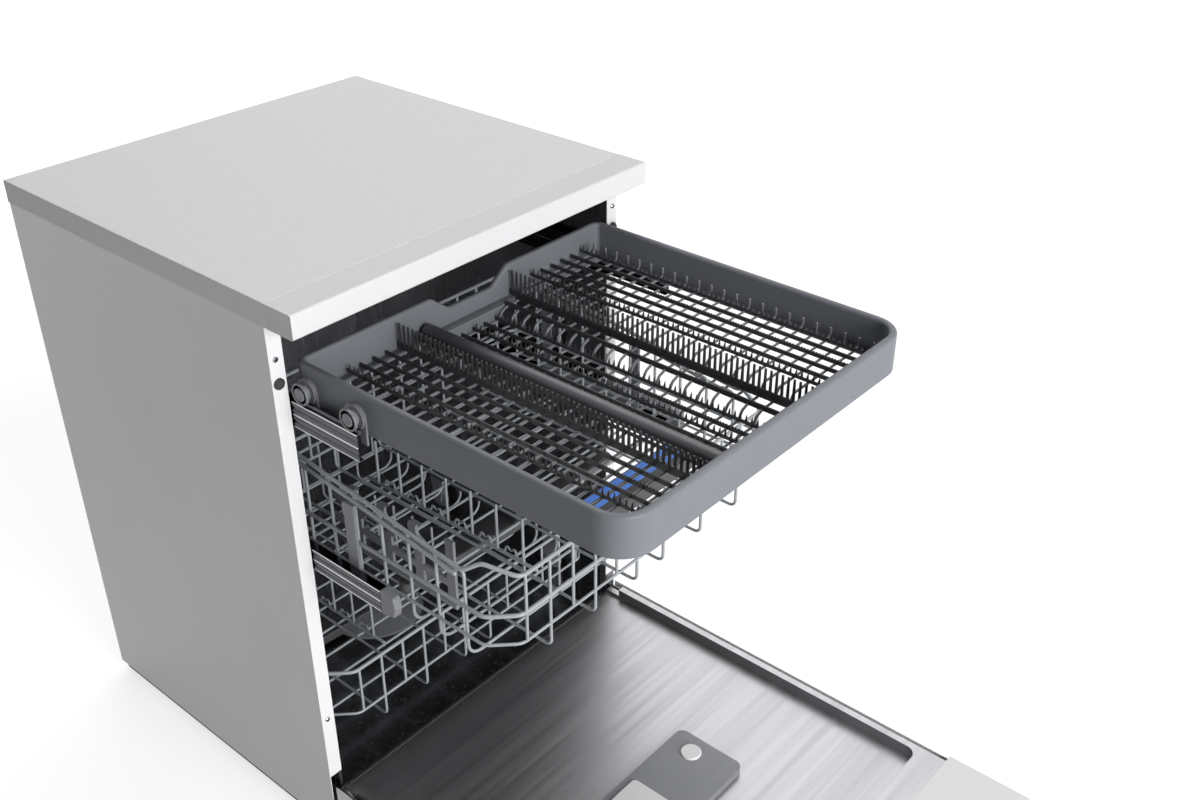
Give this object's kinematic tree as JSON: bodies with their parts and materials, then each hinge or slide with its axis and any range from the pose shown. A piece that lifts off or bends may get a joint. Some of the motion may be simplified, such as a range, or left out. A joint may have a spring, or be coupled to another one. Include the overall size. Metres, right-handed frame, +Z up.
{
  "type": "dishwasher",
  "caption": "Free-standing dishwasher with its door open, a toothed cutlery tray and wire basket pulled out on rails, and a wheeled lower basket stowed in the tub",
  "frame": {"origin": "on the floor under the middle of the machine and its open door", "axes": "+Z up, +Y from the door's free edge to the machine's back, +X to the machine's right-hand side as seen from the front"},
  "size_m": [0.6, 1.288, 0.85],
  "materials": {
    "worktop": "laminated board, light grey",
    "white_trim": "glossy white moulding",
    "white_enamel": "white enamel on folded sheet",
    "black_base": "black moulded base",
    "cast_weight": "bare casting",
    "stainless": "brushed stainless sheet",
    "seal_rubber": "black rubber",
    "bright_steel": "bright plated steel",
    "grey_moulding": "grey polypropylene",
    "pump_plastic": "black pump housing",
    "tray_plastic": "blue-grey moulding",
    "insert_plastic": "black moulding",
    "coated_wire": "grey nylon-coated wire",
    "shelf_plastic": "dark grey moulding",
    "handle_plastic": "grey moulding",
    "control_plastic": "satin grey moulding"
  },
  "bodies": {
    "cabinet": {"worktop_board": "worktop", "worktop_trim": "white_trim", "left_side_panel": "white_enamel", "right_side_panel": "white_enamel", "rear_panel": "white_enamel", "base_pan": "black_base", "kick_plate": "white_enamel", "counterweight": "cast_weight", "tub": "stainless", "door_gasket": "seal_rubber", "door_catch": "grey_moulding", "sump": "grey_moulding", "filter_screen": "grey_moulding", "wash_pump": "pump_plastic", "drain_pump": "pump_plastic", "feed_duct": "grey_moulding", "flange_screws": "bright_steel", "door_bumpers": "seal_rubber", "hinge_brackets": "stainless", "rail_guides": "grey_moulding"},
    "door": {"door_outer_panel": "white_enamel", "door_liner": "stainless", "control_fascia": "white_trim", "door_hinge_arms": "stainless", "detergent_dispenser": "grey_moulding"},
    "tray": {"tray_frame": "tray_plastic", "tray_insert_left": "insert_plastic", "tray_insert_right": "insert_plastic", "tray_tube": "insert_plastic", "tray_roller_carriers": "grey_moulding"},
    "tray_rail_pair": {"tray_rails": "bright_steel"},
    "upper_basket": {"upper_basket_wires": "coated_wire", "upper_handle": "handle_plastic", "upper_carriers": "grey_moulding", "upper_feed_duct": "grey_moulding"},
    "upper_rail_pair": {"upper_rails": "bright_steel", "upper_rail_caps": "grey_moulding"},
    "lower_basket": {"lower_basket_wires": "coated_wire", "lower_wheel_brackets": "grey_moulding"},
    "foot_front_left": {"foot_front_left": "black_base"},
    "foot_front_right": {"foot_front_right": "black_base"},
    "foot_rear_left": {"foot_rear_left": "black_base"},
    "foot_rear_right": {"foot_rear_right": "black_base"},
    "spray_arm_lower": {"spray_arm_lower": "grey_moulding"},
    "spray_arm_top": {"spray_arm_top": "grey_moulding"},
    "spray_arm_upper": {"spray_arm_upper": "grey_moulding"},
    "dispenser_lid": {"dispenser_lid": "control_plastic"},
    "rinse_aid_cap": {"rinse_aid_cap": "control_plastic"},
    "power_button": {"power_button": "control_plastic"},
    "start_button": {"start_button": "control_plastic"},
    "tray_rollers_front": {"tray_rollers_front": "grey_moulding"},
    "tray_rollers_rear": {"tray_rollers_rear": "grey_moulding"},
    "upper_rollers_front": {"upper_rollers_front": "grey_moulding"},
    "upper_rollers_rear": {"upper_rollers_rear": "grey_moulding"},
    "upper_tines": {"upper_tines": "coated_wire"},
    "cup_shelf": {"cup_shelf": "shelf_plastic"},
    "lower_wheels_front": {"lower_wheels_front": "grey_moulding"},
    "lower_wheels_rear": {"lower_wheels_rear": "grey_moulding"},
    "lower_tines_left": {"lower_tines_left": "coated_wire"},
    "lower_tines_right": {"lower_tines_right": "coated_wire"}
  },
  "joints": [
    {"name": "door_hinge", "type": "hinge", "parent": "cabinet", "child": "door", "pos_m": [0, 0.076, 0.095], "axis": [1, 0, 0], "range_deg": [-45, 0]},
    {"name": "tray_slide", "type": "slide", "parent": "cabinet", "child": "tray", "axis": [0, -1, 0], "range_m": [-0.498, 0]},
    {"name": "tray_rail_slide", "type": "slide", "parent": "cabinet", "child": "tray_rail_pair", "axis": [0, -1, 0], "range_m": [-0.13446, 0]},
    {"name": "tray_roller_front_spin", "type": "hinge", "parent": "tray", "child": "tray_rollers_front", "pos_m": [0, -0.006, 0.731], "axis": [1, 0, 0], "continuous": true},
    {"name": "tray_roller_rear_spin", "type": "hinge", "parent": "tray", "child": "tray_rollers_rear", "pos_m": [0, 0.077, 0.731], "axis": [1, 0, 0], "continuous": true},
    {"name": "upper_slide", "type": "slide", "parent": "cabinet", "child": "upper_basket", "axis": [0, -1, 0], "range_m": [-0.335, 0.1]},
    {"name": "upper_rail_slide", "type": "slide", "parent": "cabinet", "child": "upper_rail_pair", "axis": [0, -1, 0], "range_m": [-0.1675, 0.05]},
    {"name": "upper_roller_front_spin", "type": "hinge", "parent": "upper_basket", "child": "upper_rollers_front", "pos_m": [0, 0.046, 0.488], "axis": [1, 0, 0], "continuous": true},
    {"name": "upper_roller_rear_spin", "type": "hinge", "parent": "upper_basket", "child": "upper_rollers_rear", "pos_m": [0, 0.186, 0.488], "axis": [1, 0, 0], "continuous": true},
    {"name": "lower_slide", "type": "slide", "parent": "cabinet", "child": "lower_basket", "axis": [0, -1, 0], "range_m": [0, 0.5]},
    {"name": "lower_wheel_front_spin", "type": "hinge", "parent": "lower_basket", "child": "lower_wheels_front", "pos_m": [0, 0.206, 0.1163], "axis": [1, 0, 0], "continuous": true},
    {"name": "lower_wheel_rear_spin", "type": "hinge", "parent": "lower_basket", "child": "lower_wheels_rear", "pos_m": [0, 0.48, 0.1163], "axis": [1, 0, 0], "continuous": true},
    {"name": "upper_tine_fold", "type": "hinge", "parent": "upper_basket", "child": "upper_tines", "pos_m": [-0.092, 0.03, 0.4628], "axis": [0, 1, 0], "range_deg": [0, 75]},
    {"name": "cup_shelf_fold", "type": "hinge", "parent": "upper_basket", "child": "cup_shelf", "pos_m": [-0.206, 0, 0.4643], "axis": [0, 1, 0], "range_deg": [0, 80]},
    {"name": "lower_tine_left_fold", "type": "hinge", "parent": "lower_basket", "child": "lower_tines_left", "pos_m": [-0.085, 0.35, 0.1498], "axis": [0, -1, 0], "range_deg": [0, 75]},
    {"name": "lower_tine_right_fold", "type": "hinge", "parent": "lower_basket", "child": "lower_tines_right", "pos_m": [0.085, 0.35, 0.1498], "axis": [0, 1, 0], "range_deg": [0, 75]},
    {"name": "spray_lower_spin", "type": "hinge", "parent": "cabinet", "child": "spray_arm_lower", "pos_m": [0, 0.351, 0.106], "axis": [0, 0, 1], "continuous": true},
    {"name": "spray_top_spin", "type": "hinge", "parent": "cabinet", "child": "spray_arm_top", "pos_m": [0, 0.351, 0.7704], "axis": [0, 0, 1], "continuous": true},
    {"name": "spray_upper_spin", "type": "hinge", "parent": "upper_basket", "child": "spray_arm_upper", "pos_m": [0, 0.0265, 0.4264], "axis": [0, 0, 1], "continuous": true},
    {"name": "dispenser_lid_slide", "type": "slide", "parent": "door", "child": "dispenser_lid", "axis": [1, 0, 0], "range_m": [0, 0.064]},
    {"name": "rinse_aid_cap_turn", "type": "hinge", "parent": "door", "child": "rinse_aid_cap", "pos_m": [0.071, -0.239, 0.1], "axis": [0, 0, 1], "range_deg": [0, 90]},
    {"name": "power_button_press", "type": "slide", "parent": "door", "child": "power_button", "axis": [0, 0, 1], "range_m": [0, 0.003], "stiffness_N_per_m": 400},
    {"name": "start_button_press", "type": "slide", "parent": "door", "child": "start_button", "axis": [0, 0, 1], "range_m": [0, 0.003], "stiffness_N_per_m": 400},
    {"name": "foot_front_left_turn", "type": "hinge", "parent": "cabinet", "child": "foot_front_left", "pos_m": [-0.2568, 0.168, 0], "axis": [0, 0, 1], "continuous": true},
    {"name": "foot_front_right_turn", "type": "hinge", "parent": "cabinet", "child": "foot_front_right", "pos_m": [0.2568, 0.168, 0], "axis": [0, 0, 1], "continuous": true},
    {"name": "foot_rear_left_turn", "type": "hinge", "parent": "cabinet", "child": "foot_rear_left", "pos_m": [-0.2568, 0.5936, 0], "axis": [0, 0, 1], "continuous": true},
    {"name": "foot_rear_right_turn", "type": "hinge", "parent": "cabinet", "child": "foot_rear_right", "pos_m": [0.2568, 0.5936, 0], "axis": [0, 0, 1], "continuous": true}
  ],
  "couplings": [
    {"joint": "tray_rail_slide", "follows": "tray_slide", "ratio": 0.27},
    {"joint": "tray_roller_front_spin", "follows": "tray_slide", "rad_per_m": 73},
    {"joint": "tray_roller_rear_spin", "follows": "tray_slide", "rad_per_m": 73},
    {"joint": "upper_rail_slide", "follows": "upper_slide", "ratio": 0.5},
    {"joint": "upper_roller_front_spin", "follows": "upper_slide", "rad_per_m": 35.461},
    {"joint": "upper_roller_rear_spin", "follows": "upper_slide", "rad_per_m": 35.461},
    {"joint": "lower_wheel_front_spin", "follows": "lower_slide", "rad_per_m": 52.632},
    {"joint": "lower_wheel_rear_spin", "follows": "lower_slide", "rad_per_m": 52.632}
  ]
}
